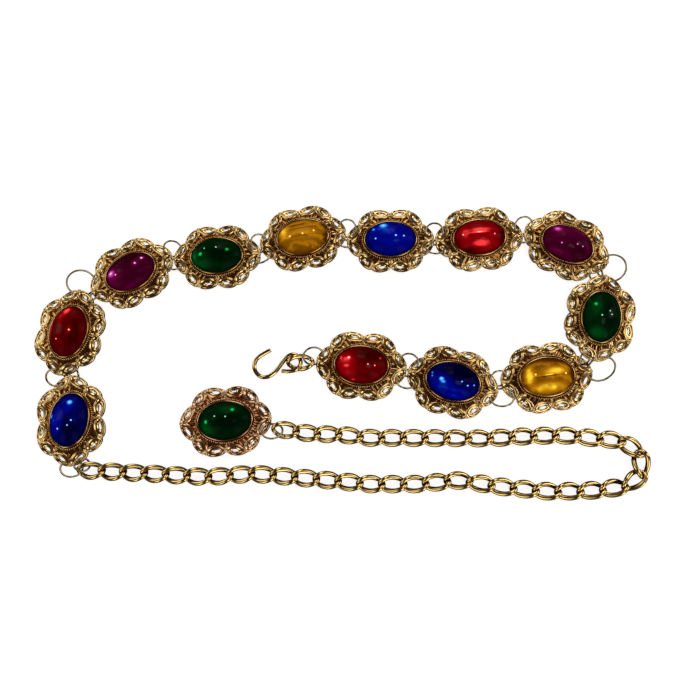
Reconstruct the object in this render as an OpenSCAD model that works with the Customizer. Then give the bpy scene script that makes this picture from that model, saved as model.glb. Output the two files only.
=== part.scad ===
/* [Setting] */
// Length of a setting between its two end beads
setting_l = 41; // [40:0.25:43]
// Width of a setting between its side beads
setting_w = 28.6; // [27.5:0.1:30]
// Wire of the petals
petal_wire = 1.1; // [0.8:0.05:1.3]
// How far each side of a petal bows out
petal_bow = 1.9; // [1.6:0.05:2.1]
// Slope of the petals towards the rim, in degrees
petal_tilt = 25; // [10:1:35]
// Diameter of the beads where petals meet
bead_d = 1.8; // [1.5:0.05:2.1]
// Height of the beads
bead_h = 1.8; // [1.4:0.1:2.4]
// Thickness of the web between petals and bezel
web_t = 1.1; // [0.8:0.1:1.6]
// How far the web reaches out from the bezel
web_w = 2.7; // [2.5:0.1:3]
// Width of the rib that runs out to each notch
rib_w = 1.2; // [0.8:0.1:1.6]
// Wall of the bezel
bezel_t = 0.6; // [0.4:0.05:0.8]
// Height of the bezel above the web's underside
bezel_h = 3.2; // [2.6:0.1:4]
// Height of the milled lip at the bezel's top
lip_h = 0.6; // [0.4:0.1:1]
// Depth of the milling in the lip
lip_cut = 0.25; // [0.1:0.05:0.4]
// Thickness of the closed back under the stone
back_t = 0.6; // [0.4:0.1:1]

/* [Stone] */
// Length of a cabochon
stone_l = 25; // [23:0.25:26]
// Width of a cabochon
stone_w = 18; // [17:0.25:19]
// Height of a cabochon
stone_h = 7; // [5:0.25:8]
// Clearance round a stone and under it
stone_gap = 0.1; // [0.05:0.05:0.2]

/* [Jump rings] */
// Diameter of a jump ring at the middle of its wire
ring_d = 8.6; // [8.2:0.1:9]
// Wire of the jump rings
ring_wire = 0.9; // [0.7:0.05:1]

/* [Curb chain] */
// Length of a curb link
link_l = 13.6; // [13.2:0.1:14]
// Width of a curb link
link_w = 8.3; // [8:0.1:8.8]
// Wire of the curb links
link_wire = 1.7; // [1.4:0.05:1.75]
// Free play between two links
link_play = 0.35; // [0.25:0.05:0.45]
// Twist from the middle of a link to its end, in degrees
link_twist = 50; // [46:1:54]

/* [Hook] */
// Wire of the hook
hook_wire = 1.9; // [1.5:0.1:2.1]

/* [Hidden] */
$fn = 48;
COUNT = 12;
GOLD = "goldenrod";
BRASS = "darkkhaki";
RED = "firebrick";
BLUE = "mediumblue";
AMBER = "orange";
GREEN = "darkgreen";
PURPLE = "purple";

// Petal tips of one quarter, from the end bead round to the side notch:
// share of the half length, share of the half width
TIPS = [[1, 0], [0.732, 0.538], [0.449, 1], [0, 0.923]];

// The first setting: x, y, turn
FIRST = [5.4, -8.1, -4.7];
// The settings after it: heading of the step, step as a share of the setting's length, turn
STEPS = [
    [-10.3, 1.047, -13.7], [3, 1.055, 8], [46.9, 0.95, 79], [110.4, 0.938, 154],
    [175.1, 1.024, 184.7], [180.9, 1.044, 180.6], [178.1, 1.04, 190.5], [192.8, 1.04, 183],
    [191, 1.031, 208], [227.1, 0.986, 262], [276, 1.032, 275.6]];
// Middle of the laid-out belt in the frame of these places: x, y
MIDDLE = [-7.87, 1.68];
// Turn of each cup and its stone against the petals, the drop's last
CUP_TURNS = [0, 0, 0, 0, 0, 0, 0, 0, 0, 0, 0, -9, 0];
STONE_COLOURS = [RED, BLUE, AMBER, GREEN, PURPLE, RED, BLUE, AMBER, GREEN, PURPLE, RED, BLUE, GREEN];
// The drop: x, y, turn
DROP = [-57.1, -34.1, 3.6];

// The two jump rings of each joint, left one first. Each ring has: seat on this setting's end
// petal and seat on the next one's, as shares from bead to notch; tilt, outer side up; how far
// its middle leans out, as a share of what its size allows; size, as a share of ring_d
SEATS = [
    [[0.45, 0.5, 40, 0.35, 1], [0.7, 0.7, 40, -0.7, 1]],
    [[0.65, 0.4, 35, -0.15, 0.9], [0.4, 0.6, 35, 0.6, 1.25]],
    [[0.6, 0.4, 40, -0.05, 0.7], [0.25, 0.3, 45, 0.9, 1.5]],
    [[0.3, 0.65, -40, 0.6, 0.7], [0.35, 0.3, 30, 0.7, 1.5]],
    [[0.55, 0.35, 40, -0.2, 0.7], [0.35, 0.55, 40, 0.45, 1]],
    [[0.5, 0.55, 40, 0.2, 1], [0.6, 0.55, 35, -0.05, 1]],
    [[0.3, 0.65, 40, -0.1, 0.8], [0.65, 0.35, 35, 0, 1]],
    [[0.6, 0.4, 35, 0, 1], [0.4, 0.6, 35, 0, 0.9]],
    [[0.45, 0.55, 30, -0.25, 0.9], [0.55, 0.3, 50, 0.65, 1]],
    [[0.3, 0.65, 40, -0.35, 0.7], [0.5, 0.25, 45, 0.8, 1.5]],
    [[0.6, 0.35, 30, -0.4, 0.9], [0.35, 0.7, 45, 0.4, 1]]];
// How far a ring's seat lies outside the middle of its petal
seat_out = 0.2;
// Rings at the belt's two ends: x, y, turn of the level axis, tilt about it, share of ring_d
HOOK_RING = [-17, -3.7, 15, 45, 1.1];
CHAIN_RINGS = [[-122.3, -54.2, -40, -40, 0.8], [-126.6, -55.8, -30, -40, 1.1]];
DROP_RING = [-35.3, -38.7, 0, -40, 1.1];

// Route of the curb chain along its middle: x, y, roll of the links
ROUTE = [
    [-118, -56.9, 0], [-88, -58.2, 0], [-64, -59.5, 0], [-44, -57.8, 0], [-20, -59.7, 0], [10, -62.2, 0],
    [29, -62.1, 0], [49, -60.4, 0], [59, -61.7, 15], [70, -63.3, 0], [90, -65, 0], [106, -64.6, 0],
    [121, -63, 0], [128, -60.4, 0], [132.3, -55, 0], [130.9, -47.8, 0], [123.5, -43, 0], [112, -41.3, 0],
    [101, -40.2, 0], [90, -40.2, 0], [75, -40.8, 0], [64, -41.6, 0], [50, -41.6, 15], [37, -41.5, 0],
    [7, -41.5, 0], [-4, -40, 15], [-16, -39.9, 0], [-31, -37.9, 0]];
// The six links round the bend, after the 24th: x, y, turn, roll
BEND = [[117.8, -63.3, 9, -6], [126.8, -60, 32, 8], [130.8, -52.7, 89, 0],
    [127.2, -45.3, 145, 0], [118.3, -42, 174, 0], [108.4, -41.1, 171, -7]];
bend_after = 24;
// The link between hook and first setting: x, y, turn, roll
HOOK_LINK = [-23.1, -6.6, 1, 10];
// Middle of the hook's wire: x, y, share of the wire that it rises
HOOK_ROUTE = [
    [-37.5, -0.2, 0], [-40.6, -1.9, 0], [-43.4, -3.9, 0], [-44.8, -6.2, 0], [-45, -8.8, 0], [-43.7, -11.5, 0],
    [-41.2, -13.2, 0], [-38.3, -13, 0], [-35.8, -11.4, 0], [-33.9, -9.3, 0], [-31.4, -5.7, 0],
    [-29.2, -3.2, 0], [-26.9, -2.3, 0], [-24.6, -3.2, 0], [-23.1, -5.7, 0.6], [-23.3, -8.2, 1.3],
    [-25.3, -10.3, 1.5], [-28.7, -10.9, 1.3], [-31.6, -10.6, 0.9]];

// Sides of the swept wires, stations round a curb link, and fullness of its oval
wire_sides = 6;
link_stations = 14;
link_full = 2.4;

// Heights: the settings rest on their jump rings
rest_z = ring_wire + 0.6;
chord_z = rest_z + petal_wire / 2 + petal_bow * sin(petal_tilt);
web_z = chord_z - 1;
stone_z = web_z + back_t + stone_gap;

function turned(p, a) = [p[0] * cos(a) - p[1] * sin(a), p[0] * sin(a) + p[1] * cos(a)];
// A point of a setting in the model's own frame
function placed(place, p) = [place[0], place[1]] + turned(p, place[2]);

// Places of the settings: x, y, turn
function walk(i) = i == 0 ? FIRST
    : let (before = walk(i - 1), s = STEPS[i - 1])
        [before[0] + s[1] * setting_l * cos(s[0]), before[1] + s[1] * setting_l * sin(s[0]), s[2]];
PLACES = [for (i = [0 : COUNT - 1]) walk(i)];

// The twelve petal tips, from the right end bead counter-clockwise
function tip(q) = let (f = q % 6, k = f <= 3 ? f : 6 - f,
    sx = q < 3 || q > 9 ? 1 : -1, sy = q <= 6 ? 1 : -1)
    [sx * TIPS[k][0] * setting_l / 2, sy * TIPS[k][1] * setting_w / 2];
RING_OF_TIPS = [for (q = [0:11]) tip(q)];

// Settings

module lens(r, bow) {
    intersection() {
        translate([0, r - bow]) circle(r);
        translate([0, bow - r]) circle(r);
    }
}

// A pierced leaf from tip a to tip b, its outer edge lower
module petal(a, b) {
    chord = norm(b - a);
    r = chord * chord / (8 * petal_bow) + petal_bow / 2;
    middle = (a + b) / 2;
    turn = atan2(b[1] - a[1], b[0] - a[0]);
    translate([middle[0], middle[1], chord_z]) rotate([0, 0, turn]) rotate([-petal_tilt, 0, 0])
        linear_extrude(petal_wire, center = true) difference() {
            lens(r + petal_wire / 2, petal_bow + petal_wire / 2);
            lens(r - petal_wire / 2, petal_bow - petal_wire / 2);
        }
}

module oval(l, w, h) {
    linear_extrude(h) scale([l / w, 1]) circle(d = w);
}

// Ribs from the web out to the notches
module ribs() {
    for (k = [1, 3, 5, 7, 9, 11]) {
        notch = RING_OF_TIPS[k];
        reach = norm(notch);
        translate([0, 0, web_z]) rotate([0, 0, atan2(notch[1], notch[0])])
            translate([reach * 0.75, -rib_w / 2, 0]) cube([reach * 0.25, rib_w, web_t]);
    }
}

module milled_lip() {
    teeth = 52;
    l = stone_l / 2 + stone_gap + bezel_t;
    w = stone_w / 2 + stone_gap + bezel_t;
    translate([0, 0, bezel_h - lip_h]) linear_extrude(lip_h) polygon([for (i = [0 : 2 * teeth - 1])
        let (a = i * 180 / teeth, cut = i % 2 * lip_cut) [(l - cut) * cos(a), (w - cut) * sin(a)]]);
}

// Web, closed back and bezel round the stone's pocket
module cup() {
    open_l = stone_l + 2 * stone_gap;
    open_w = stone_w + 2 * stone_gap;
    grow = 2 * (bezel_t + web_w);
    difference() {
        union() {
            oval(stone_l + grow, stone_w + grow, web_t);
            oval(open_l + 2 * bezel_t, open_w + 2 * bezel_t, bezel_h - lip_h);
            milled_lip();
        }
        translate([0, 0, back_t]) oval(open_l, open_w, bezel_h);
    }
}

module setting(cup_turn) {
    for (q = [0:11]) {
        petal(RING_OF_TIPS[(q + 1) % 12], RING_OF_TIPS[q]);
        translate([RING_OF_TIPS[q][0], RING_OF_TIPS[q][1], chord_z])
            cylinder(d = bead_d, h = bead_h, center = true);
    }
    ribs();
    translate([0, 0, web_z]) rotate([0, 0, cup_turn]) cup();
}

module stone() {
    intersection() {
        scale([stone_l / 2, stone_w / 2, stone_h]) sphere(1);
        translate([-stone_l, -stone_w, 0]) cube([2 * stone_l, 2 * stone_w, 2 * stone_h]);
    }
}

module at_place(place) {
    translate([place[0], place[1], 0]) rotate([0, 0, place[2]]) children();
}

module setting_at(place, i) {
    color(GOLD) at_place(place) setting(CUP_TURNS[i]);
}

module stone_at(place, i) {
    color(STONE_COLOURS[i]) at_place(place) translate([0, 0, stone_z])
        rotate([0, 0, CUP_TURNS[i]]) stone();
}

// Jump rings

// Where a ring sits in the petal between a bead and a notch, share 0 at the bead
function seat(bead, notch, share) =
    let (out = [notch[1] - bead[1], bead[0] - notch[0]] / norm(notch - bead), middle = (bead + notch) / 2)
    bead + (notch - bead) * share + out * sign(out * middle) * seat_out;

// A ring on its low side: middle x, y, turn of its level axis, tilt about it, share of ring_d
module ring_at(x, y, turn, tilt, share) {
    r = ring_d * share / 2;
    translate([x, y, ring_wire / 2 + r * abs(sin(tilt))]) rotate([0, 0, turn]) rotate([tilt, 0, 0])
        rotate_extrude() translate([r, 0]) circle(d = ring_wire, $fn = 24);
}

// A ring over points p and q, pushed away from point inner
module ring_over(p, q, inner, row) {
    span = norm(q - p);
    middle = (p + q) / 2;
    along = (q - p) / span;
    across = [along[1], -along[0]];
    side = sign(across * (middle - inner));
    lean = row[3] * sqrt(max(0, pow(ring_d * row[4] / 2, 2) - span * span / 4)) * cos(row[2]);
    centre = middle + across * side * lean;
    ring_at(centre[0], centre[1], atan2(along[1], along[0]), -side * row[2], row[4]);
}

module ring_pair(i) {
    a = PLACES[i];
    b = PLACES[i + 1];
    end_a = RING_OF_TIPS[0];
    end_b = RING_OF_TIPS[6];
    inner = (placed(a, end_a) + placed(b, end_b)) / 2;
    color(BRASS) for (k = [0, 1]) {
        row = SEATS[i][k];
        ring_over(placed(a, seat(end_a, RING_OF_TIPS[k == 0 ? 1 : 11], row[0])),
            placed(b, seat(end_b, RING_OF_TIPS[k == 0 ? 5 : 7], row[1])), inner, row);
    }
}

// Swept wires

// A tube of round wire along points, closed into a loop where ends is false
module wire(points, d, sides, ends) {
    n = len(points);
    function ahead(i) = points[ends ? min(i + 1, n - 1) : (i + 1) % n];
    function behind(i) = points[ends ? max(i - 1, 0) : (i + n - 1) % n];
    ring = [for (i = [0 : n - 1])
        let (t = ahead(i) - behind(i), along = t / norm(t),
            flat = cross([0, 0, 1], along), u = flat / norm(flat), v = cross(along, u))
        for (j = [0 : sides - 1]) points[i] + d / 2 * (cos(j * 360 / sides) * u + sin(j * 360 / sides) * v)];
    last = ends ? n - 2 : n - 1;
    skin = [for (i = [0:last], j = [0 : sides - 1], half = [0, 1])
        let (a = i * sides, b = (i + 1) % n * sides, k = (j + 1) % sides)
            half == 0 ? [a + j, a + k, b + k] : [a + j, b + k, b + j]];
    caps = ends ? [[for (j = [0 : sides - 1]) sides - 1 - j],
        [for (j = [0 : sides - 1]) (n - 1) * sides + j]] : [];
    polyhedron(ring, [for (f = concat(skin, caps)) [for (j = [len(f) - 1 : -1 : 0]) f[j]]]);
}

// Curb chain

link_pitch = link_l - 2 * link_wire - link_play;

function full(v) = sign(v) * pow(abs(v), 2 / link_full);
// The middle line of a curb link that is rolled about its length
function link_line(roll) = [for (i = [0 : link_stations - 1])
    let (a = (i + 0.5) * 360 / link_stations,
        x = (link_l - link_wire) / 2 * full(cos(a)),
        y = (link_w - link_wire) / 2 * full(sin(a)),
        twist = roll - link_twist * x / (link_l - link_wire) * 2)
    [x, y * cos(twist), y * sin(twist)]];

module curb_link(x, y, turn, roll) {
    line = link_line(roll);
    low = min([for (p = line) p[2]]);
    translate([x, y, link_wire / 2 - low]) rotate([0, 0, turn])
        wire(line, link_wire, wire_sides, false);
}

// Distance along the route to each of its points
function run(i) = i == 0 ? 0 : run(i - 1) + norm([ROUTE[i][0] - ROUTE[i - 1][0], ROUTE[i][1] - ROUTE[i - 1][1]]);
RUNS = [for (i = [0 : len(ROUTE) - 1]) run(i)];
function on_route(s, i = 1) = i == len(ROUTE) - 1 || s <= RUNS[i]
    ? ROUTE[i - 1] + (ROUTE[i] - ROUTE[i - 1]) * (s - RUNS[i - 1]) / (RUNS[i] - RUNS[i - 1])
    : on_route(s, i + 1);
LINKS = floor(RUNS[len(ROUTE) - 1] / link_pitch) + 1;

// Place of a link: x, y, turn, roll
function link_place(k) = k >= bend_after && k < bend_after + len(BEND) ? BEND[k - bend_after]
    : let (p = on_route(k * link_pitch), d = on_route((k + 0.5) * link_pitch) - on_route((k - 0.5) * link_pitch))
        [p[0], p[1], atan2(d[1], d[0]), p[2]];

module chain() {
    color(GOLD) for (k = [0 : LINKS - 1]) {
        p = link_place(k);
        curb_link(p[0], p[1], p[2], p[3]);
    }
}

// Hook, its link and the thin rings at the belt's ends

module hook() {
    color(GOLD) wire([for (p = HOOK_ROUTE) [p[0], p[1], hook_wire * (0.5 + p[2])]], hook_wire, 10, true);
}

module hook_link() {
    color(GOLD) curb_link(HOOK_LINK[0], HOOK_LINK[1], HOOK_LINK[2], HOOK_LINK[3]);
}

module end_ring(row) {
    color(BRASS) ring_at(row[0], row[1], row[2], row[3], row[4]);
}

translate([-MIDDLE[0], -MIDDLE[1], 0]) {
    for (i = [0 : COUNT - 1]) {
        setting_at(PLACES[i], i);
        stone_at(PLACES[i], i);
    }
    for (i = [0 : COUNT - 2]) ring_pair(i);
    setting_at(DROP, COUNT);  // drop_setting
    stone_at(DROP, COUNT);  // drop_stone
    end_ring(DROP_RING);  // drop_ring
    chain();
    for (row = CHAIN_RINGS) end_ring(row);  // chain_rings
    hook();
    hook_link();
    end_ring(HOOK_RING);  // hook_ring
}
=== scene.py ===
import math
import bmesh
import bpy
import numpy as np
from mathutils import Matrix


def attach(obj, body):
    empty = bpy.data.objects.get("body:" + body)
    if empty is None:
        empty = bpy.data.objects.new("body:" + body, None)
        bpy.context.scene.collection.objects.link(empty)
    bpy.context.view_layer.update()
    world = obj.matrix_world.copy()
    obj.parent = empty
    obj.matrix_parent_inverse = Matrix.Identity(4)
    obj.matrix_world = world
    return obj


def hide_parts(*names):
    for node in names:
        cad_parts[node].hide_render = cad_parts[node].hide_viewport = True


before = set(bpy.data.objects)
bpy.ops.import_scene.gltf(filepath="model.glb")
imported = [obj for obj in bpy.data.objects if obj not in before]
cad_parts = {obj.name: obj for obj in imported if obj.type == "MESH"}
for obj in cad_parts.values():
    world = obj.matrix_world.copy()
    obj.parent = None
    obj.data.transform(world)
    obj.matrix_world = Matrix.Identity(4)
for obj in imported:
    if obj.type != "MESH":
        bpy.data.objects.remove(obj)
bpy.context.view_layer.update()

# ---------------------------------------------------------------- settings
# Thirteen gold-plated brass castings of twelve cupped petals round a ridged web,
# with beads, a milled ring and a closed back. The bezel is pressed over the
# stone, and jump rings through the petals join one setting to the next.

# Lengths are in mm up to make_piece. MIDDLE is the middle of the laid-out belt.
MM = 0.001
MIDDLE = np.array([-7.87, 1.68])
# x, y and turn of the first setting, then the heading, length and new turn of
# each step to the next. A step is counted in lengths of a setting.
FIRST = (5.4, -8.1, -4.7)
STEPS = [
    (-10.3, 1.047, -13.7), (3, 1.055, 8), (46.9, 0.95, 79), (110.4, 0.938, 154),
    (175.1, 1.024, 184.7), (180.9, 1.044, 180.6), (178.1, 1.04, 190.5), (192.8, 1.04, 183),
    (191, 1.031, 208), (227.1, 0.986, 262), (276, 1.032, 275.6)]
DROP = (-57.1, -34.1, 3.6)
# Length and width of a setting
LENGTH, WIDTH = 41, 28.6
places = [FIRST]
for heading, step, turn in STEPS:
    x, y, _ = places[-1]
    a = math.radians(heading)
    places.append((x + LENGTH * step * math.cos(a), y + LENGTH * step * math.sin(a), turn))
places.append(DROP)
# How far each stone is turned from its petals
CUP_TURNS = [0] * 11 + [-9, 0]


def turned(points, degrees):
    """Points turned about Z: x cos a - y sin a, x sin a + y cos a, z."""
    c, s = math.cos(math.radians(degrees)), math.sin(math.radians(degrees))
    x, y, z = points.T
    return np.stack([x * c - y * s, x * s + y * c, z], 1)


def moved(points, x, y):
    """Points of a piece put at x, y of the tables, with the belt centred."""
    return points + np.array([x - MIDDLE[0], y - MIDDLE[1], 0])


def grid_faces(rows, columns, round_rows, round_columns):
    """Quads between neighbours of a grid of points in row order, closed round where asked."""
    i = np.arange(rows if round_rows else rows - 1)
    j = np.arange(columns if round_columns else columns - 1)
    i, j = np.meshgrid(i, j, indexing="ij")
    i2, j2 = (i + 1) % rows, (j + 1) % columns
    corners = [i * columns + j, i * columns + j2, i2 * columns + j2, i2 * columns + j]
    return np.stack(corners, -1).reshape(-1, 4)


def make_piece(node, parts, look):
    """One smooth mesh in the place of a CAD node, from parts of (points, quads, painted shade, uv)."""
    name = node + "_look"
    points, quads, painted_shade, uvs, start = [], [], [], [], 0
    for part in parts:
        p, q = part[0], part[1]
        points.append(p)
        quads.append(q + start)
        painted_shade.append(np.broadcast_to(part[2] if len(part) > 2 else 0.0, len(p)))
        uvs.append(part[3] if len(part) > 3 else np.zeros((len(p), 2)))
        start += len(p)
    points, quads = np.concatenate(points) * MM, np.concatenate(quads)
    mesh = bpy.data.meshes.new(name)
    mesh.vertices.add(len(points))
    mesh.vertices.foreach_set("co", points.ravel())
    mesh.loops.add(quads.size)
    mesh.loops.foreach_set("vertex_index", quads.ravel())
    mesh.polygons.add(len(quads))
    mesh.polygons.foreach_set("loop_start", np.arange(len(quads)) * 4)
    mesh.polygons.foreach_set("loop_total", np.full(len(quads), 4))
    mesh.update(calc_edges=True)
    mesh.polygons.foreach_set("use_smooth", np.ones(len(quads), bool))
    # Each point's painted shade: dark in recesses and grooves, light on rims and tops
    attribute = mesh.attributes.new("painted_shade", "FLOAT", "POINT")
    attribute.data.foreach_set("value", np.concatenate(painted_shade).astype(float))
    layer = mesh.uv_layers.new(name="UVMap")
    layer.data.foreach_set("uv", np.concatenate(uvs)[quads.ravel()].ravel())
    mesh.validate()
    # Points that share a place, at poles and seams, become one
    closed = bmesh.new()
    closed.from_mesh(mesh)
    bmesh.ops.remove_doubles(closed, verts=closed.verts, dist=1e-7)
    closed.to_mesh(mesh)
    closed.free()
    piece = bpy.data.objects.new(name, mesh)
    bpy.context.scene.collection.objects.link(piece)
    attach(piece, "root")
    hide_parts(node)
    mesh.materials.append(look)


class Value:
    """One output of a shader node. Sums and products of Values add math nodes."""

    def __init__(self, tree, socket):
        self.tree, self.socket = tree, socket

    def node(self, kind, inputs=(), output=0, **settings):
        """Adds a shader node, links or sets its inputs and returns one output."""
        node = self.tree.nodes.new("ShaderNode" + kind)
        for key, value in settings.items():
            setattr(node, key, value)
        for key, value in dict(inputs).items():
            if isinstance(value, Value):
                self.tree.links.new(value.socket, node.inputs[key])
            else:
                node.inputs[key].default_value = value
        return Value(self.tree, node.outputs[output])

    def math(self, operation, other=0.0, clamp=False):
        """This value and another through one math node."""
        return self.node("Math", {0: self, 1: other}, operation=operation, use_clamp=clamp)

    def __add__(self, other):
        return self.math("ADD", other)

    def __sub__(self, other):
        return self.math("SUBTRACT", other)

    def __rsub__(self, other):
        return self.math("MULTIPLY", -1.0).math("ADD", other)

    def __mul__(self, other):
        return self.math("MULTIPLY", other)

    __radd__, __rmul__ = __add__, __mul__

    def __truediv__(self, other):
        return self.math("DIVIDE", other)

    def __pow__(self, other):
        return self.math("POWER", other)

    def step(self, low, high, to_low=0.0, to_high=1.0):
        """Smooth step from low to high."""
        limits = {"From Min": low, "From Max": high, "To Min": to_low, "To Max": to_high}
        return self.node("MapRange", {"Value": self, **limits}, interpolation_type="SMOOTHSTEP")

    def mix(self, dark, bright):
        """Colour between dark and bright by this value."""
        pair = {}
        for key, colour in ((6, dark), (7, bright)):
            pair[key] = colour if isinstance(colour, Value) else (*colour, 1.0)
        return self.node("Mix", {0: self, **pair}, output=2, data_type="RGBA")


def material(name):
    """A new node material, its tree as a Value to start from, and its shader node."""
    made = bpy.data.materials.new(name)
    made.use_nodes = True
    tree = made.node_tree
    shader = tree.nodes["Principled BSDF"]
    return made, Value(tree, None), shader


def connect(shader, name, value):
    """Links a Value to one input of the shader node."""
    value.tree.links.new(value.socket, shader.inputs[name])


def metal(name, pale, deep, dark, roughness, mottling):
    """Polished plated metal: pale where the painted shade and the wear are low, deep brown in the painted
    shade of the recesses, darkest where the painted shade is strongest.

    The depth is the mesh's painted shade plus fine wear and broad clouds times mottling.
    """
    made, new, shader = material(name)
    shader.inputs["Metallic"].default_value = 1.0
    place = new.node("TexCoord", output=3)
    wear = new.node("TexNoise", {"Vector": place, "Scale": 260.0, "Detail": 4.0, "Roughness": 0.6})
    cloud = new.node("TexNoise", {"Vector": place, "Scale": 60.0, "Detail": 2.0})
    # The mesh's painted shade, which picks the colour between pale, deep and dark
    painted_shade = new.node("Attribute", output=2, attribute_name="painted_shade")
    depth = (painted_shade + (wear * 0.5 + cloud - 0.75) * mottling).math("ADD", 0.0, clamp=True)
    colour = depth.step(0.12, 0.75).mix(pale, deep)
    colour = depth.step(0.7, 1.15).mix(colour, dark)
    connect(shader, "Base Color", colour)
    connect(shader, "Roughness", wear.step(0.3, 0.7, roughness, roughness + 0.1))
    bump = new.node("Bump", {"Strength": mottling / 2, "Distance": 0.0002, "Height": wear})
    connect(shader, "Normal", bump)
    return made


# Bow of a petal, and the angle at which its outer side hangs down from its chord
BOW, TILT = 1.9, math.radians(25)
CHORD_Z = 1.5 + 0.55 + BOW * math.sin(TILT)
# Tips of the petals in one quarter, as shares of the half sizes
TIPS = [(1, 0), (0.732, 0.538), (0.449, 1), (0, 0.923)]
tips = []
for q in range(12):
    f = q % 6
    share_x, share_y = TIPS[f if f <= 3 else 6 - f]
    side_x, side_y = (1 if q < 3 or q > 9 else -1), (1 if q <= 6 else -1)
    tips.append((share_x * LENGTH / 2 * side_x, share_y * WIDTH / 2 * side_y))
tips = np.array(tips)
# Section of a petal, from the outer foot over the rim and down into the cupped
# leaf: inset from the outer edge, height over the petal's plane, painted shade (dark in the grooves and
# underneath, light on the rim)
LEAF = [
    (0.2, -0.8, 0.9), (0.03, -0.6, 0.7), (0.0, -0.3, 0.2), (0.12, -0.12, 0.8), (0.02, 0.08, 0.3),
    (0.04, 0.45, 0.1), (0.2, 0.74, 0.0), (0.4, 0.8, 0.0), (0.6, 0.66, 0.1), (0.74, 0.42, 0.6),
    (0.86, 0.3, 0.7), (1.0, 0.3, 0.2), (1.2, 0.36, 0.0), (1.45, 0.27, 0.0), (1.65, 0.05, 0.0),
    (1.82, -0.25, 0.1), (1.78, -0.45, 0.9), (0.9, -0.85, 0.9)]
# Rows of the section that close round the opening, and by which share of it
CLOSING = {13: 0.3, 14: 0.7, 15: 1.0, 16: 0.9}
PETAL_POINTS = 44
# Reach of a petal from its chord, outward and inward
OUTER, INNER = 2.42, 3.1


def petal(a, b, shut, lean):
    """Nested ovals from tip a to tip b: x = l cos t, y = w sin t, outer side lower and narrower.

    The inner rows close round the opening by shut, in mm, and lean to one tip.
    """
    chord = np.linalg.norm(b - a)
    middle, along = (a + b) / 2, (b - a) / chord
    out = np.array([along[1], -along[0]])
    out *= np.sign(out @ middle)
    down = np.array([*(out * math.cos(TILT)), -math.sin(TILT)])
    inward = np.array([*(-out * math.cos(TILT / 3)), math.sin(TILT / 3)])
    up = np.array([*(out * math.sin(TILT / 2)), math.cos(TILT / 2)])
    t = np.arange(PETAL_POINTS) * 2 * math.pi / PETAL_POINTS
    rows = []
    for row, (inset, height, _) in enumerate(LEAF):
        inset += shut * CLOSING.get(row, 0)
        x = (chord / 2 + 0.2 - 1.8 * inset) * np.cos(t)
        x = x + lean * 0.35 * max(0, inset - 0.9)
        y = (OUTER - inset) * np.sin(t)
        side = np.where((y > 0)[:, None], y[:, None] * down, -y[:, None] * INNER / OUTER * inward)
        spine = np.array([*middle, CHORD_Z]) + x[:, None] * np.array([*along, 0])
        rows.append(spine + side + height * up)
    painted_shade = np.repeat([row[2] for row in LEAF], PETAL_POINTS)
    return np.concatenate(rows), grid_faces(len(LEAF), PETAL_POINTS, True, True)[:, ::-1], painted_shade


# Half sizes of the stone, which the cup, bezel and web follow
STONE = np.array([12.5, 9.0])
# Offset from the stone's oval at which a row of it has shrunk to its middle point
CENTRE = -9
# Section of cup and bezel, from the middle of the back up the wall, over the lip
# and down to the stone's seat: offset from the stone's oval, height, painted shade (dark down the walls,
# light on the lip)
BEZEL = [
    (CENTRE, 1.87, 0.6), (0.8, 1.9, 0.9), (0.66, 3.0, 0.95), (0.55, 4.1, 1.05), (0.42, 4.5, 0.95),
    (0.25, 4.72, 0.7), (0.05, 4.84, 0.25), (-0.12, 4.86, 0.1), (-0.24, 4.7, 0.7), (-0.2, 4.5, 1.1),
    (0.0, 4.1, 1.1), (0.02, 3.0, 1.0), (CENTRE, 2.5, 1.0)]
# The milled ring's beads: how many, radius, offset from the stone's oval, height
MILLED, MILLED_R, MILLED_OUT, MILLED_Z = 74, 0.4, 1.02, 3.9


def oval(offset, z, count):
    """Points of the stone's oval grown by offset: (a + offset) cos t, (b + offset) sin t, z."""
    t = np.arange(count) * 2 * math.pi / count
    a, b = (STONE + offset) * (offset > CENTRE)
    return np.stack([a * np.cos(t), b * np.sin(t), np.full(count, z)], 1)


def bezel(turn, count=120):
    """Cup and bezel: a skin of ovals, one for each row of the section."""
    points = np.concatenate([oval(offset, z, count) for offset, z, _ in BEZEL])
    painted_shade = np.repeat([row[2] for row in BEZEL], count)
    return turned(points, turn), grid_faces(len(BEZEL), count, False, True), painted_shade


def balls(centres, radius, painted_shade, rows=6, columns=8):
    """Small beads: r cos lat cos lon, r cos lat sin lon, r sin lat round each centre."""
    lat = np.linspace(-math.pi / 2, math.pi / 2, rows + 1)
    lon = np.arange(columns) * 2 * math.pi / columns
    lat, lon = np.meshgrid(lat, lon, indexing="ij")
    one = np.stack([np.cos(lat) * np.cos(lon), np.cos(lat) * np.sin(lon), np.sin(lat)], -1)
    one = radius * one.reshape(-1, 3)
    faces = grid_faces(rows + 1, columns, False, True)
    return [(one + c, faces, painted_shade) for c in centres]


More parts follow.
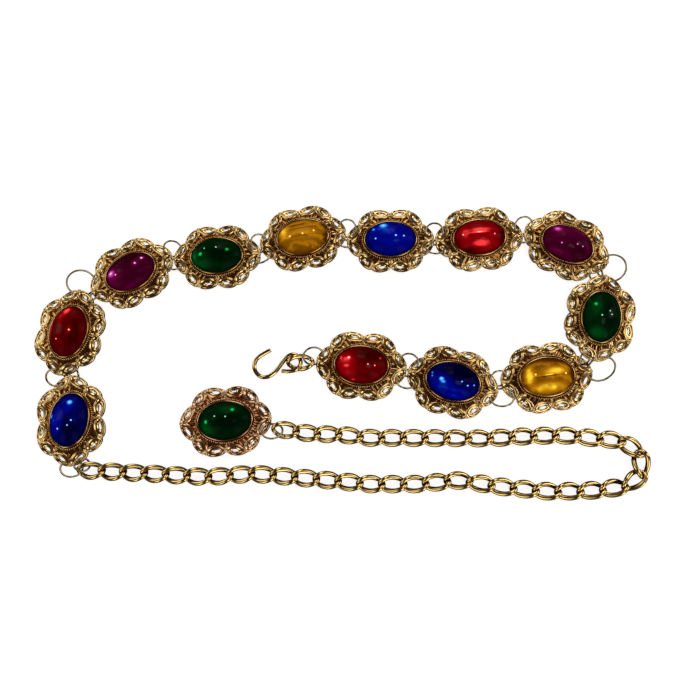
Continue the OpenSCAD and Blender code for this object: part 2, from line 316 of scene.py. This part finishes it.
def web():
    """Plate from the bezel out under the petals, in polar rows.

    Its height falls outward as 3.3 - share ** 0.8, with a ridge to every notch and fine flutes.
    """
    count, rows, thick = 180, 9, 0.5
    angle = np.arange(count) * 2 * math.pi / count
    chords = [np.linspace(tips[k], tips[(k + 1) % 12], 20, endpoint=False) for k in range(12)]
    outline = np.concatenate(chords)
    heading = np.unwrap(np.arctan2(outline[:, 1], outline[:, 0]))
    distance = np.hypot(outline[:, 0], outline[:, 1])
    reach = np.interp(angle, heading, distance, period=2 * math.pi) - 0.9
    direction = np.stack([np.cos(angle), np.sin(angle)], 1)
    inner = 1 / np.hypot(*(direction / (STONE + 0.7)).T)
    notch = np.arctan2(tips[1::2, 1], tips[1::2, 0])
    off = (angle[:, None] - notch[None] + math.pi) % (2 * math.pi) - math.pi
    ridge = np.exp(-(off * reach[:, None] / 1.3) ** 2).sum(1)
    share = np.linspace(0, 1, rows)[:, None]
    radius = inner + (reach - inner) * share
    flutes = np.cos(36 * angle)
    z = 3.3 - 1.0 * share ** 0.8 + ridge * 0.8 * share + 0.16 * flutes * share * (1 - share) * 4
    top = np.stack([radius * direction[:, 0], radius * direction[:, 1], z], -1)
    points = np.concatenate([top, top[::-1] - np.array([0, 0, thick])]).reshape(-1, 3)
    # Painted shade: lighter along the ridges and the flutes' crests, darker between them, and the underside
    # painted dark
    painted_shade = 0.62 - 0.55 * ridge * np.sqrt(share) - 0.15 * flutes * np.ones_like(share)
    painted_shade = np.concatenate([painted_shade, np.full((rows, count), 0.8)]).ravel()
    return points, grid_faces(2 * rows, count, True, True)[:, ::-1], painted_shade


def setting_parts(cup_turn, seed):
    """All parts of one setting in its own frame. The seed varies the petals' openings."""
    parts = []
    for q in range(12):
        shut = 0.12 + 0.16 * math.sin(2.4 * q + 5 * seed)
        parts.append(petal(tips[q], tips[(q + 1) % 12], shut, (-1) ** q))
    # Beads between the petals, then at the ends of the web's ridges, each with one level of painted shade
    parts += balls([(x, y, CHORD_Z + 0.3) for x, y in tips[::2]], 0.9, 0.15, 10, 14)
    parts += balls([(x, y, CHORD_Z + 0.1) for x, y in tips[1::2]], 0.85, 0.3, 8, 12)
    parts += balls([(x * 0.85, y * 0.85, 3.0) for x, y in tips[1::2]], 0.62, 0.25, 8, 12)
    parts.append(web())
    parts.append(bezel(cup_turn))
    # The milled ring's beads at even steps along their oval
    fine = oval(MILLED_OUT, MILLED_Z, 2400)
    steps = np.linalg.norm(np.diff(fine, axis=0, append=fine[:1]), axis=1)
    run = np.concatenate([[0], np.cumsum(steps)])
    spots = fine[np.searchsorted(run, np.arange(MILLED) * run[-1] / MILLED).clip(0, len(fine) - 1)]
    parts += balls(turned(spots, cup_turn), MILLED_R, 0.35)
    return parts


gold = metal("setting gold", (0.95, 0.72, 0.34), (0.44, 0.19, 0.04), (0.06, 0.022, 0.002), 0.08, 0.5)
copper = metal("drop gold", (0.95, 0.66, 0.38), (0.44, 0.16, 0.06), (0.06, 0.02, 0.003), 0.1, 0.5)
for k, (x, y, turn) in enumerate(places):
    node = "drop_setting" if k == 12 else "setting_%d" % (k + 1)
    parts = [(moved(turned(p[0], turn), x, y), *p[1:]) for p in setting_parts(CUP_TURNS[k], k)]
    make_piece(node, parts, copper if k == 12 else gold)

# ---------------------------------------------------------------- stones
# Cast glass cabochons on foil, dropped into the cups and held by the bezels. Their
# colour is a deep body with curved streaks, painted glowing spots and dark patches,
# painted sharp white highlights and painted shade at the rim, all also emitted as light.

# Deepest and middle colour of each glass, and the colour of its painted glows
BODY = {
    "red": ((0.03, 0.0, 0.0), (0.22, 0.0, 0.002), (1.0, 0.045, 0.05)),
    "blue": ((0.0, 0.0, 0.012), (0.0, 0.002, 0.24), (0.03, 0.35, 1.0)),
    "amber": ((0.05, 0.012, 0.0), (0.38, 0.15, 0.002), (1.0, 0.66, 0.03)),
    "green": ((0.0, 0.004, 0.001), (0.0, 0.045, 0.006), (0.0, 0.55, 0.10)),
    "purple": ((0.02, 0.0, 0.004), (0.10, 0.0, 0.034), (0.50, 0.03, 0.36))}
# Level of each stone's body, and strength of the streaks in each colour
LEVELS = [0.25, 0.27, 0.36, 0.16, 0.25, 0.32, 0.28, 0.28, 0.16, 0.18, 0.22, 0.20, 0.14]
STREAKS = {"red": 0.05, "blue": 0.06, "amber": 0.2, "green": 0.03, "purple": 0.06}
COLOURS = ["red", "blue", "amber", "green", "purple"] * 2 + ["red", "blue", "green"]
# Painted glowing spots of each stone, and painted dark patches where the strength
# is below zero: across, up, size across, size up in shares of the half sizes, and strength
PAINTED_GLOWS_AND_SHADES = [
    [(-0.76, 0.27, 0.035, 0.11, 1.0), (-0.47, 0.27, 0.052, 0.06, 1.9),
     (-0.55, 0.2, 0.12, 0.07, 0.6), (-0.53, -0.16, 0.08, 0.055, 1.1), (-0.55, 0.0, 0.3, 0.5, 0.55),
     (0.68, 0.38, 0.04, 0.08, 1.1), (0.4, 0.55, 0.5, 0.4, -0.3), (-0.25, -0.82, 0.1, 0.05, 0.9),
     (-0.4, -0.5, 0.3, 0.2, 0.25)],
    [(-0.46, -0.08, 0.07, 0.08, 2.0), (-0.38, -0.2, 0.07, 0.06, 1.2),
     (-0.4, -0.25, 0.35, 0.35, 0.4), (-0.82, 0.17, 0.03, 0.07, 1.1), (-0.8, 0.0, 0.03, 0.05, 0.9),
     (0.1, -0.5, 0.45, 0.1, 0.4), (0.15, -0.75, 0.4, 0.12, 0.35), (0.2, 0.5, 0.7, 0.45, -0.35)],
    [(-0.7, 0.1, 0.14, 0.4, 0.9), (0.25, 0.2, 0.4, 0.2, 0.9), (-0.1, -0.6, 0.5, 0.22, 0.7),
     (0.0, -0.03, 0.5, 0.025, -0.6), (-0.02, 0.02, 0.14, 0.03, 1.2), (0.4, 0.85, 0.6, 0.25, -0.5),
     (0.95, 0.1, 0.16, 0.6, -0.5)],
    [(0.36, 0.47, 0.07, 0.09, 1.3), (0.2, 0.4, 0.35, 0.35, 0.25), (0.6, -0.78, 0.1, 0.08, 0.7),
     (0.6, 0.75, 0.12, 0.06, 0.7), (-0.7, 0.2, 0.2, 0.4, 0.4), (0.1, -0.3, 0.4, 0.4, -0.2)],
    [(-0.6, 0.42, 0.1, 0.12, 1.3), (-0.55, 0.45, 0.3, 0.3, 0.4), (0.3, 0.75, 0.4, 0.14, 0.4),
     (-0.35, -0.7, 0.3, 0.1, 0.2), (0.5, -0.3, 0.4, 0.4, -0.15)],
    [(-0.05, 0.1, 0.3, 0.05, 1.4), (0.0, 0.25, 0.5, 0.12, 0.7), (-0.05, -0.5, 0.4, 0.16, 1.0),
     (-0.6, 0.1, 0.14, 0.4, 0.4), (0.85, 0.4, 0.04, 0.2, 0.7), (0.0, 0.0, 0.7, 0.6, 0.25),
     (0.9, 0.0, 0.22, 0.5, -0.35), (-0.45, -0.75, 0.3, 0.25, -0.3)],
    [(-0.28, 0.64, 0.1, 0.12, 1.7), (-0.3, 0.5, 0.3, 0.3, 0.35), (-0.66, 0.45, 0.06, 0.08, 1.0),
     (0.7, 0.75, 0.06, 0.06, 1.1), (0.0, 0.0, 0.9, 0.8, 0.25)],
    [(0.74, 0.7, 0.12, 0.16, 1.1), (-0.7, 0.3, 0.16, 0.35, 0.7), (0.0, 0.15, 0.75, 0.6, 0.3),
     (-0.1, 0.55, 0.4, 0.04, -0.4), (0.0, 0.3, 0.5, 0.03, -0.35), (0.1, -0.12, 0.45, 0.03, -0.3),
     (0.9, -0.3, 0.12, 0.4, -0.3)],
    [(-0.56, -0.03, 0.08, 0.1, 1.3), (0.47, 0.15, 0.08, 0.1, 1.4), (-0.85, -0.1, 0.14, 0.4, 0.7),
     (-0.5, -0.5, 0.3, 0.25, 0.35), (0.3, -0.1, 0.4, 0.3, -0.25)],
    [(-0.67, 0.23, 0.13, 0.15, 1.7), (-0.65, 0.0, 0.3, 0.4, 0.45), (0.64, 0.28, 0.08, 0.1, 1.2),
     (0.35, 0.1, 0.12, 0.14, 0.8), (-0.3, -0.85, 0.3, 0.1, 0.3), (0.2, 0.6, 0.4, 0.3, -0.25)],
    [(0.76, 0.2, 0.16, 0.16, 1.4), (0.5, 0.4, 0.25, 0.2, 0.5), (0.0, 0.86, 0.5, 0.07, 0.9),
     (0.0, -0.25, 0.15, 0.12, 0.4), (-0.2, -0.5, 0.7, 0.3, -0.2)],
    [(0.63, -0.05, 0.07, 0.12, 1.6), (0.08, 0.84, 0.1, 0.06, 1.4), (-0.1, 0.5, 0.5, 0.3, 0.45),
     (0.5, 0.0, 0.3, 0.35, 0.3), (-0.4, -0.3, 0.3, 0.4, -0.15)],
    [(-0.64, -0.05, 0.06, 0.10, 1.4), (0.34, 0.5, 0.08, 0.09, 1.3), (-0.65, -0.4, 0.25, 0.3, 0.45),
     (0.1, 0.5, 0.35, 0.25, 0.2), (0.2, -0.1, 0.4, 0.3, -0.25)]]
# Painted sharp white highlights on each stone: across, up
PAINTED_GLINTS = [
    [(0.25, -0.02), (0.5, -0.05)],
    [(0.28, 0.0), (0.52, -0.12), (0.75, 0.0)],
    [(0.6, 0.0), (-0.5, 0.13)],
    [(-0.06, 0.14), (0.16, -0.24), (0.04, -0.36)],
    [(-0.25, -0.3), (0.3, -0.03), (0.52, 0.0)],
    [(-0.66, 0.08), (0.53, -0.03)],
    [(-0.58, -0.12), (0.19, 0.0), (0.5, 0.0)],
    [(-0.47, -0.04), (0.03, -0.04), (0.47, 0.06)],
    [(-0.4, 0.27), (0.06, 0.28)],
    [(-0.5, 0.0), (0.35, 0.1), (0.64, 0.28)],
    [(0.0, -0.27), (-0.4, 0.33)],
    [(-0.03, -0.33), (-0.22, -0.18), (-0.37, 0.32)],
    [(0.1, 0.15), (-0.3, 0.2)]]


# Height of the flat base, and of the dome over it
STONE_Z, STONE_H = 2.553, 6.99


def dome():
    """The stone's skin, a cos e cos t, b cos e sin t, h sin e, and its flat base."""
    rows, columns = 28, 72
    e = np.linspace(0, math.pi / 2, rows)
    t = np.arange(columns) * 2 * math.pi / columns
    e, t = np.meshgrid(e, t, indexing="ij")
    u, v = np.cos(e) * np.cos(t), np.cos(e) * np.sin(t)
    points = np.stack([STONE[0] * u, STONE[1] * v, STONE_Z + STONE_H * np.sin(e)], -1).reshape(-1, 3)
    base = np.concatenate([oval(0, STONE_Z, columns) * np.array([s, s, 1]) for s in (1.0, 0.5, 0.0)])
    skin_uv, base_uv = np.stack([u, v], -1).reshape(-1, 2), base[:, :2] / STONE
    return [(points, grid_faces(rows, columns, False, True), 0.0, skin_uv),
            (base, grid_faces(3, columns, False, True)[:, ::-1], 0.0, base_uv)]


def stone_material(k, flip):
    """Body level plus streaks, painted soft glows and white highlights, and painted shade at the rim, under a
    clear coat; the colour is also emitted as light.

    Flip is -1 on a stone that lies upside down, so that its painted glows and highlights keep their place.
    """
    deep, body, painted_glow = BODY[COLOURS[k]]
    made, new, shader = material("stone %d" % (k + 1))
    place = new.node("UVMap", uv_map="UVMap")
    u = new.node("SeparateXYZ", {0: place}, output=0) * flip
    v = new.node("SeparateXYZ", {0: place}, output=1) * flip
    cloud = new.node("TexNoise", {"Vector": place, "Scale": 3.0, "Detail": 2.0, "Distortion": 0.4})
    arcs = (v * 11.0 + u * u * 5.0 + u * 1.5 + cloud * 9.0 + k * 1.3).math("SINE")
    total = arcs * (arcs * 0.4 + 0.6) * STREAKS[COLOURS[k]] + LEVELS[k]
    # Painted glowing spots of light thrown back by the foil, and painted dark patches
    for across, up, size_a, size_u, strength in PAINTED_GLOWS_AND_SHADES[k]:
        far = ((u - across) / size_a) ** 2.0 + ((v - up) / size_u) ** 2.0
        total = total + (far * -1.1).math("EXPONENT") * (strength * 1.15)
    # Painted shade darkening each stone towards its rim
    edge = (u * u + v * v).step(0.6, 1.0, 1.0, 0.4)
    light = total * edge * cloud.step(0.2, 0.8, 0.8, 1.15)
    # Painted white highlights, brighter nearer the middle
    for across, up in PAINTED_GLINTS[k]:
        far = ((u - across) / 0.026) ** 2.0 + ((v - up) / 0.036) ** 2.0
        light = light + (far * -0.9).math("EXPONENT") * (3.2 - abs(across))
    colour = light.step(0.0, 0.75).mix(deep, body)
    colour = light.step(0.6, 1.5).mix(colour, painted_glow)
    colour = light.step(1.7, 3.0).mix(colour, (1.0, 0.9, 0.95))
    connect(shader, "Base Color", colour)
    # The stone's painted colour, with its glows and highlights, also shines as emitted light, though the
    # stone is no lamp
    connect(shader, "Emission Color", colour)
    shader.inputs["Emission Strength"].default_value = 0.7
    shader.inputs["Roughness"].default_value = 0.25
    connect(shader, "Coat Weight", (u * u + v * v).step(0.1, 0.22, 0.5, 0.08))
    shader.inputs["Coat Roughness"].default_value = 0.03
    shader.inputs["Coat IOR"].default_value = 1.28
    shader.inputs["Specular IOR Level"].default_value = 0.0
    return made


for k, (x, y, turn) in enumerate(places):
    node = "drop_stone" if k == 12 else "stone_%d" % (k + 1)
    turn += CUP_TURNS[k]
    flip = -1.0 if 95 < turn % 360 < 275 else 1.0
    parts = [(moved(turned(p[0], turn), x, y), *p[1:]) for p in dome()]
    make_piece(node, parts, stone_material(k, flip))

# ---------------------------------------------------------------- curb chain and hook's link
# Links of round brass wire, bent to ovals round each other, closed and twisted
# so that the chain lies flat. One more link hangs in the hook's eye.


def sweep(path, up, profile, closed):
    """Profile (u, v) carried along path P: P + u side + v up, with side = along x up."""
    ahead, behind = np.roll(path, -1, 0), np.roll(path, 1, 0)
    if not closed:
        ahead[-1], behind[0] = path[-1], path[0]
    along = ahead - behind
    along /= np.linalg.norm(along, axis=1)[:, None]
    side = np.cross(along, up)
    side /= np.linalg.norm(side, axis=1)[:, None]
    up = np.cross(side, along)
    profile = np.asarray(profile, float)
    points = path[:, None] + profile[None, :, :1] * side[:, None] + profile[None, :, 1:] * up[:, None]
    return points.reshape(-1, 3), grid_faces(len(path), len(profile), closed, True)[:, ::-1]


def circle(radius, sides):
    """Profile of a round wire."""
    a = np.arange(sides) * 2 * math.pi / sides
    return np.stack([radius * np.cos(a), radius * np.sin(a)], 1)


# Length, width, wire and twist of a link, and the power of its rounded outline
LINK_L, LINK_W, WIRE, TWIST, FULL = 13.6, 8.3, 1.7, 50, 2.4
PITCH = LINK_L - 2 * WIRE - 0.35
LINK_POINTS, WIRE_SIDES = 48, 14
# Points that the chain follows: x, y, roll of the links
ROUTE = np.array([
    (-118, -56.9, 0), (-88, -58.2, 0), (-64, -59.5, 0), (-44, -57.8, 0), (-20, -59.7, 0), (10, -62.2, 0),
    (29, -62.1, 0), (49, -60.4, 0), (59, -61.7, 15), (70, -63.3, 0), (90, -65, 0), (106, -64.6, 0),
    (121, -63, 0), (128, -60.4, 0), (132.3, -55, 0), (130.9, -47.8, 0), (123.5, -43, 0), (112, -41.3, 0),
    (101, -40.2, 0), (90, -40.2, 0), (75, -40.8, 0), (64, -41.6, 0), (50, -41.6, 15), (37, -41.5, 0),
    (7, -41.5, 0), (-4, -40, 15), (-16, -39.9, 0), (-31, -37.9, 0)], float)
# Links of the bend and the hook's link, listed one by one: x, y, turn, roll
BEND = [(117.8, -63.3, 9, -6), (126.8, -60, 32, 8), (130.8, -52.7, 89, 0), (127.2, -45.3, 145, 0),
        (118.3, -42, 174, 0), (108.4, -41.1, 171, -7)]
BEND_AFTER = 24
HOOK_LINK = (-23.1, -6.6, 1, 10)
runs = np.concatenate([[0], np.cumsum(np.linalg.norm(np.diff(ROUTE[:, :2], axis=0), axis=1))])
# Painted highlight on top of the round wire and painted shade down its sides
SIDE_PAINTED_SHADE = np.clip(1.2 - 1.35 * np.sin(np.arange(WIRE_SIDES) * 2 * math.pi / WIRE_SIDES), 0, 1.2)


def on_route(s):
    """Point and roll at distance s along the route, straight on past both ends."""
    i = int(np.clip(np.searchsorted(runs, s), 1, len(runs) - 1))
    return ROUTE[i - 1] + (ROUTE[i] - ROUTE[i - 1]) * (s - runs[i - 1]) / (runs[i] - runs[i - 1])


def link(x, y, turn, roll):
    """One curb link resting on the ground: a superellipse, twisted along its length.

    The wire swells along the link's sides as 1 + 0.18 exp(-(x / 4) ** 4), and the path
    is drawn in so that the thicker wire keeps the link's size.
    """
    t = (np.arange(LINK_POINTS) + 0.5) * 2 * math.pi / LINK_POINTS
    px = (LINK_L - WIRE) / 2 * np.sign(np.cos(t)) * np.abs(np.cos(t)) ** (2 / FULL)
    py = (LINK_W - WIRE) / 2 * np.sign(np.sin(t)) * np.abs(np.sin(t)) ** (2 / FULL)
    twist = np.radians(roll - TWIST * px / (LINK_L - WIRE) * 2)
    path = np.stack([px, py * np.cos(twist), py * np.sin(twist)], 1) * np.array([0.975, 0.917, 0.917])
    up = np.broadcast_to([0.0, 0.0, 1.0], path.shape)
    points, quads = sweep(path, up, circle(WIRE / 2 + 0.09, WIRE_SIDES), True)
    middle = np.repeat(path, WIRE_SIDES, 0)
    swell = np.repeat(1 + 0.18 * np.exp(-(path[:, 0] / 4) ** 4), WIRE_SIDES)
    points = middle + (points - middle) * swell[:, None]
    points[:, 2] -= points[:, 2].min()
    return moved(turned(points, turn), x, y), quads, np.tile(SIDE_PAINTED_SHADE, LINK_POINTS)


brass = metal("chain gold", (0.90, 0.66, 0.24), (0.26, 0.14, 0.014), (0.03, 0.012, 0.001), 0.07, 0.1)
links = []
for k in range(int(runs[-1] // PITCH) + 1):
    if BEND_AFTER <= k < BEND_AFTER + len(BEND):
        links.append(link(*BEND[k - BEND_AFTER]))
    else:
        here, there, back = (on_route((k + part) * PITCH) for part in (0, 0.5, -0.5))
        turn = math.degrees(math.atan2(there[1] - back[1], there[0] - back[0]))
        links.append(link(here[0], here[1], turn, here[2]))
make_piece("chain", links, brass)
make_piece("hook_link", [link(*HOOK_LINK)], brass)

# ---------------------------------------------------------------- hook
# Thick brass wire bent by hand into an S and cut square at both ends. Its eye
# is closed round the curb link, and its open end takes any link of the chain.
HOOK_WIRE, HOOK_SIDES = 1.9, 18
# Points along the wire: x, y in mm, height over the table in wire thicknesses
HOOK = np.array([
    (-37.5, -0.2, 0), (-40.6, -1.9, 0), (-43.4, -3.9, 0), (-44.8, -6.2, 0), (-45, -8.8, 0), (-43.7, -11.5, 0),
    (-41.2, -13.2, 0), (-38.3, -13, 0), (-35.8, -11.4, 0), (-33.9, -9.3, 0), (-31.4, -5.7, 0),
    (-29.2, -3.2, 0), (-26.9, -2.3, 0), (-24.6, -3.2, 0), (-23.1, -5.7, 0.6), (-23.3, -8.2, 1.3),
    (-25.3, -10.3, 1.5), (-28.7, -10.9, 1.3), (-31.6, -10.6, 0.9)])


def smooth_line(points, parts):
    """Catmull-Rom curve through points, with parts steps from each to the next."""
    p = np.vstack([2 * points[0] - points[1], points, 2 * points[-1] - points[-2]])
    made = []
    for a, b, c, d in zip(p, p[1:], p[2:], p[3:]):
        t = np.arange(parts)[:, None] / parts
        square, cube = 2 * a - 5 * b + 4 * c - d, 3 * b - a - 3 * c + d
        made.append(0.5 * (2 * b + (c - a) * t + square * t ** 2 + cube * t ** 3))
    return np.vstack(made + [points[-1:]])


hook_line = smooth_line(HOOK * np.array([1, 1, HOOK_WIRE]) + np.array([0, 0, HOOK_WIRE / 2]), 7)
hook_line[:, 2] = hook_line[:, 2].clip(HOOK_WIRE / 2)
hook_up = np.broadcast_to([0.0, 0.0, 1.0], hook_line.shape)
points, quads = sweep(hook_line, hook_up, circle(HOOK_WIRE / 2, HOOK_SIDES), False)
# Painted highlight on top of the hook's wire and painted shade down its sides
shade = np.clip(0.92 - 1.1 * np.sin(np.arange(HOOK_SIDES) * 2 * math.pi / HOOK_SIDES), 0, 1.2)
parts = [(moved(points, 0, 0), quads, np.tile(shade, len(hook_line)))]
for row, facing in ((points[:HOOK_SIDES], 1), (points[-HOOK_SIDES:], -1)):
    disc = np.concatenate([row, np.broadcast_to(row.mean(0), row.shape)])
    parts.append((moved(disc, 0, 0), grid_faces(2, HOOK_SIDES, False, True)[:, ::facing], 0.5))
make_piece("hook", parts, brass)

# ---------------------------------------------------------------- jump rings
# Open rings of thin plated brass wire, two at each joint, bent shut by pliers
# through the petals on both sides. The CAD rings are kept, with a duller metal.
tarnished = metal("ring metal", (0.46, 0.39, 0.27), (0.22, 0.17, 0.09), (0.06, 0.04, 0.02), 0.12, 0.4)
for name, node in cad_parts.items():
    if "ring" in name:
        node.data.materials.clear()
        node.data.materials.append(tarnished)
        node.data.shade_smooth()

# ---------------------------------------------------------------- floor and light
# A white floor, five soft boxes round a dark room, which show only in the metal
# and glass, and three lamps that give the shadows.
floor_mesh = bpy.data.meshes.new("floor")
FLOOR = 12.0
corners = [(-FLOOR, -FLOOR, 0), (FLOOR, -FLOOR, 0), (FLOOR, FLOOR, 0), (-FLOOR, FLOOR, 0)]
floor_mesh.from_pydata(corners, [], [(0, 1, 2, 3)])
floor = bpy.data.objects.new("floor", floor_mesh)
bpy.context.scene.collection.objects.link(floor)
white, _, floor_shader = material("floor white")
floor_shader.inputs["Base Color"].default_value = (0.6, 0.6, 0.6, 1)
floor_shader.inputs["Roughness"].default_value = 0.9
floor_shader.inputs["Specular IOR Level"].default_value = 0.0
floor_shader.inputs["Emission Color"].default_value = (1, 1, 1, 1)
floor_shader.inputs["Emission Strength"].default_value = 0.85
floor.data.materials.append(white)
floor.visible_glossy = False

# x, y, z of the lamp and its size in m, power in W
LAMPS = [(-1.1, 1.0, 0.28, 0.5, 1.0), (1.3, -0.6, 0.28, 0.5, 0.5), (0.33, -0.05, 0.95, 0.3, 0.35)]
for i, (x, y, z, width, power) in enumerate(LAMPS):
    lamp = bpy.data.lights.new("lamp %d" % i, "AREA")
    lamp.size, lamp.energy = width, power
    lamp.shape = "DISK"
    lamp_object = bpy.data.objects.new("lamp %d" % i, lamp)
    direction = np.array([x, y, z]) / np.linalg.norm([x, y, z])
    sideways = np.cross([0, 0, 1], direction)
    sideways /= np.linalg.norm(sideways)
    upward = np.cross(direction, sideways)
    axes = np.stack([sideways, upward, direction, (x, y, z)], 1)
    lamp_object.matrix_world = Matrix([*axes.tolist(), (0, 0, 0, 1)])
    bpy.context.scene.collection.objects.link(lamp_object)

world = bpy.data.worlds.new("room")
bpy.context.scene.world = world
world.use_nodes = True
room = Value(world.node_tree, None)
toward = room.node("TexCoord", output=0)
height = room.node("SeparateXYZ", {0: toward}, output=2)
across = room.node("SeparateXYZ", {0: toward}, output=0)
north = room.node("SeparateXYZ", {0: toward}, output=1)
# Boxes that fade out towards the zenith over a faint glow, brighter to the right
boxes = (north.math("ARCTAN2", across) * 5.0).math("SINE").step(0.1, 0.8)
lit = boxes * height.step(0.6, 0.9, 0.8, 0.0) + height.step(0.15, 0.4, 0.08, 0.0) + 0.006
band = height.step(0.03, 0.12) * lit * across.step(-0.9, 0.6, 0.7, 1.1)
sky = band.mix((0.01, 0.004, 0.001), (1.0, 0.94, 0.84))
# Past the floor's edge the picture itself shows a plain pale wall
sky = room.node("LightPath", output=0).mix(sky, (0.36, 0.36, 0.357))
world.node_tree.links.new(sky.socket, world.node_tree.nodes["Background"].inputs[0])
world.node_tree.nodes["Background"].inputs[1].default_value = 2.6

# ---------------------------------------------------------------- camera
# Angles and distance in mm from which the photo was taken, and the size of one
# of its pixels at the belt, fitted to the settings' places.
ELEVATION, AZIMUTH, ROLL = math.radians(77.77), math.radians(7.55), math.radians(-7.4)
DISTANCE, PIXEL, PHOTO = 310.6, 0.4736, 700
flat = math.cos(ELEVATION)
back = np.array([math.sin(AZIMUTH) * flat, -math.cos(AZIMUTH) * flat, math.sin(ELEVATION)])
right = np.array([math.cos(AZIMUTH), math.sin(AZIMUTH), 0])
up = np.cross(back, right)
right, up = right * math.cos(ROLL) + up * math.sin(ROLL), up * math.cos(ROLL) - right * math.sin(ROLL)
eye = (back * DISTANCE - np.array([MIDDLE[0], MIDDLE[1], 0])) * MM
camera = bpy.data.cameras.new("camera")
camera.sensor_width = 36
camera.lens = 36 * DISTANCE / PIXEL / PHOTO
camera.clip_start, camera.clip_end = 0.01, 20
camera_object = bpy.data.objects.new("camera", camera)
camera_object.matrix_world = Matrix([*np.stack([right, up, back, eye], 1).tolist(), (0, 0, 0, 1)])
bpy.context.scene.collection.objects.link(camera_object)
bpy.context.scene.camera = camera_object

scene = bpy.context.scene
scene.view_settings.view_transform = "Standard"
scene.view_settings.look = "None"
scene.view_settings.exposure = 0.0

bpy.context.view_layer.update()
